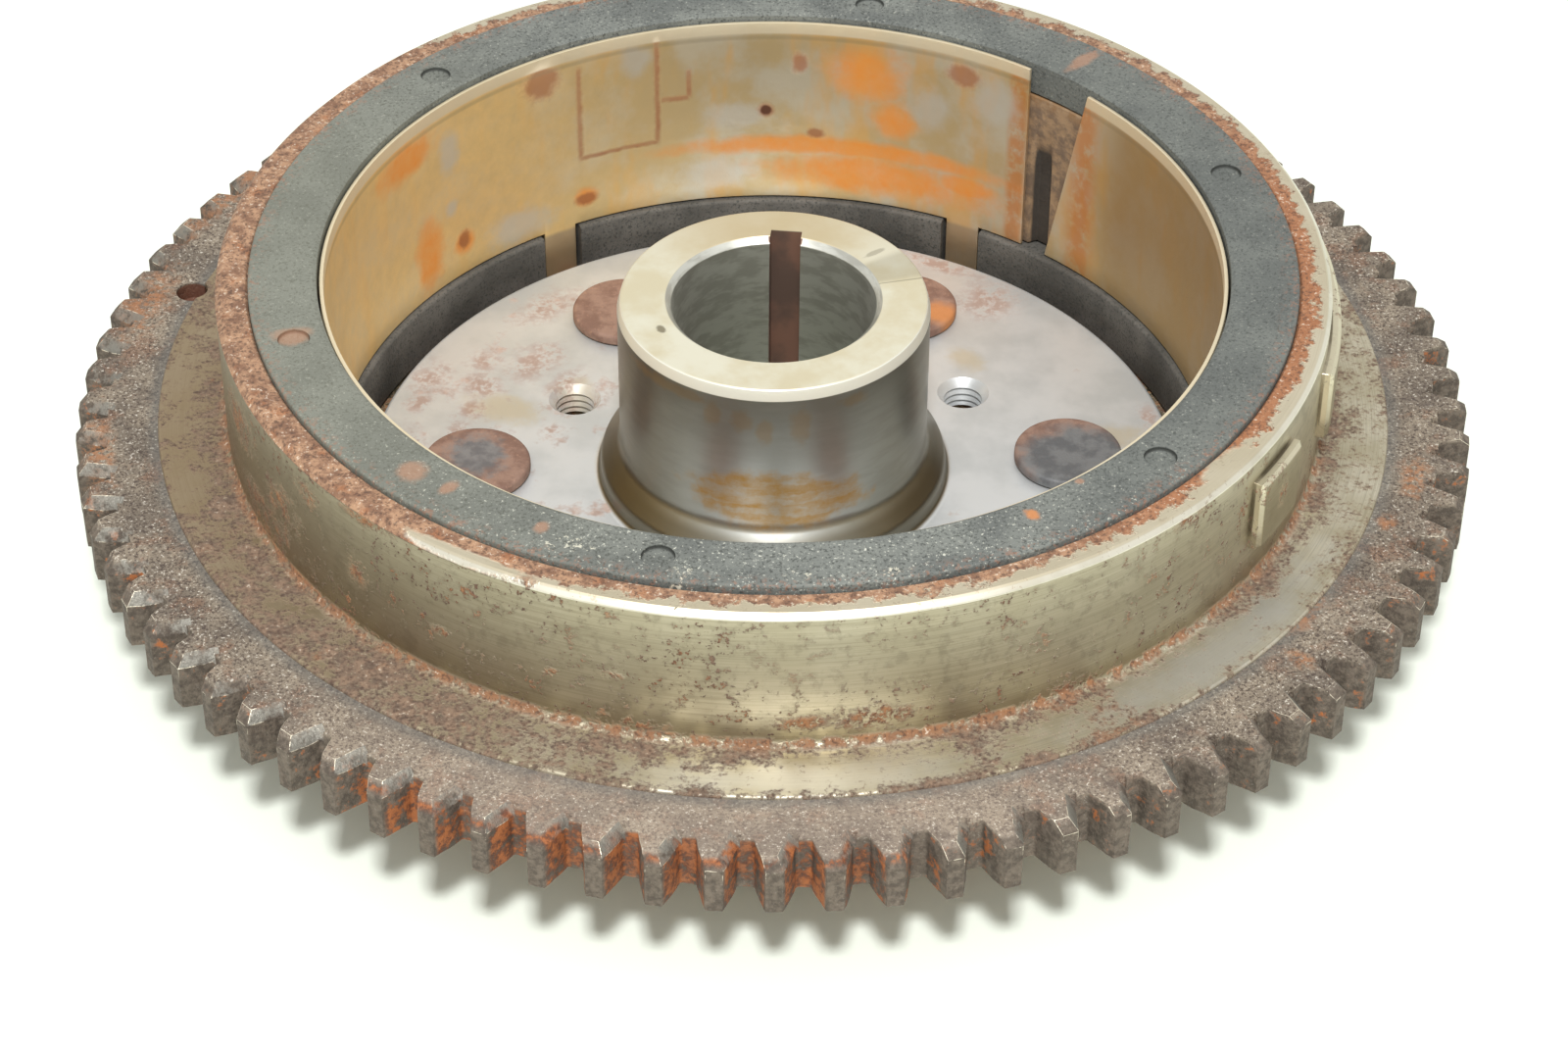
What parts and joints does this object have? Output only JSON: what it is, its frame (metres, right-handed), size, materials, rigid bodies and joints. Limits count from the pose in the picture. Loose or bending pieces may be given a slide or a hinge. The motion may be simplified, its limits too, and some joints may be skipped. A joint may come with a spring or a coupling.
{
  "type": "magneto rotor with starter ring gear",
  "caption": "Small-engine magneto rotor: flanged steel drum with a starter ring gear outside, magnets behind a thin steel cover inside, and a riveted hub with a tapered, keyed bore.",
  "frame": {"origin": "on the rotor's axis, on the plane of the drum floor's underside that it stands on", "axes": "+Z along the axis towards the open side; +X and +Y across it, with the seam of the magnet cover in the first quadrant"},
  "size_m": [0.1772, 0.1772, 0.0421],
  "materials": {
    "drum_steel": "machined steel, olive grey, with brown rust on the rim and the flange",
    "gear_steel": "dark brown rusted steel with worn tooth edges",
    "hub_steel": "satin machined steel, oil stained",
    "rivet_steel": "dark steel with rust",
    "cover_steel": "thin bright sheet with orange rust stains",
    "black_moulding": "dull charcoal moulding, dusty",
    "ceramic_magnet": "dark grey ferrite",
    "brown_resin": "dark brown cast resin"
  },
  "bodies": {
    "root": {"rotor_drum": "drum_steel", "ring_gear": "gear_steel", "hub": "hub_steel", "rivet_1": "rivet_steel", "rivet_2": "rivet_steel", "rivet_3": "rivet_steel", "rivet_4": "rivet_steel", "rivet_5": "rivet_steel", "rivet_6": "rivet_steel", "magnet_cover": "cover_steel", "top_retaining_ring": "black_moulding", "lower_spacer_1": "black_moulding", "lower_spacer_2": "black_moulding", "lower_spacer_3": "black_moulding", "lower_spacer_4": "black_moulding", "lower_spacer_5": "black_moulding", "lower_spacer_6": "black_moulding", "magnet_1": "ceramic_magnet", "magnet_2": "ceramic_magnet", "magnet_3": "ceramic_magnet", "magnet_4": "ceramic_magnet", "magnet_5": "ceramic_magnet", "magnet_6": "ceramic_magnet", "magnet_gap_filler_1": "brown_resin", "magnet_gap_filler_2": "brown_resin", "magnet_gap_filler_3": "brown_resin", "magnet_gap_filler_4": "brown_resin", "magnet_gap_filler_5": "brown_resin", "magnet_gap_filler_6": "brown_resin"}
  },
  "joints": []
}
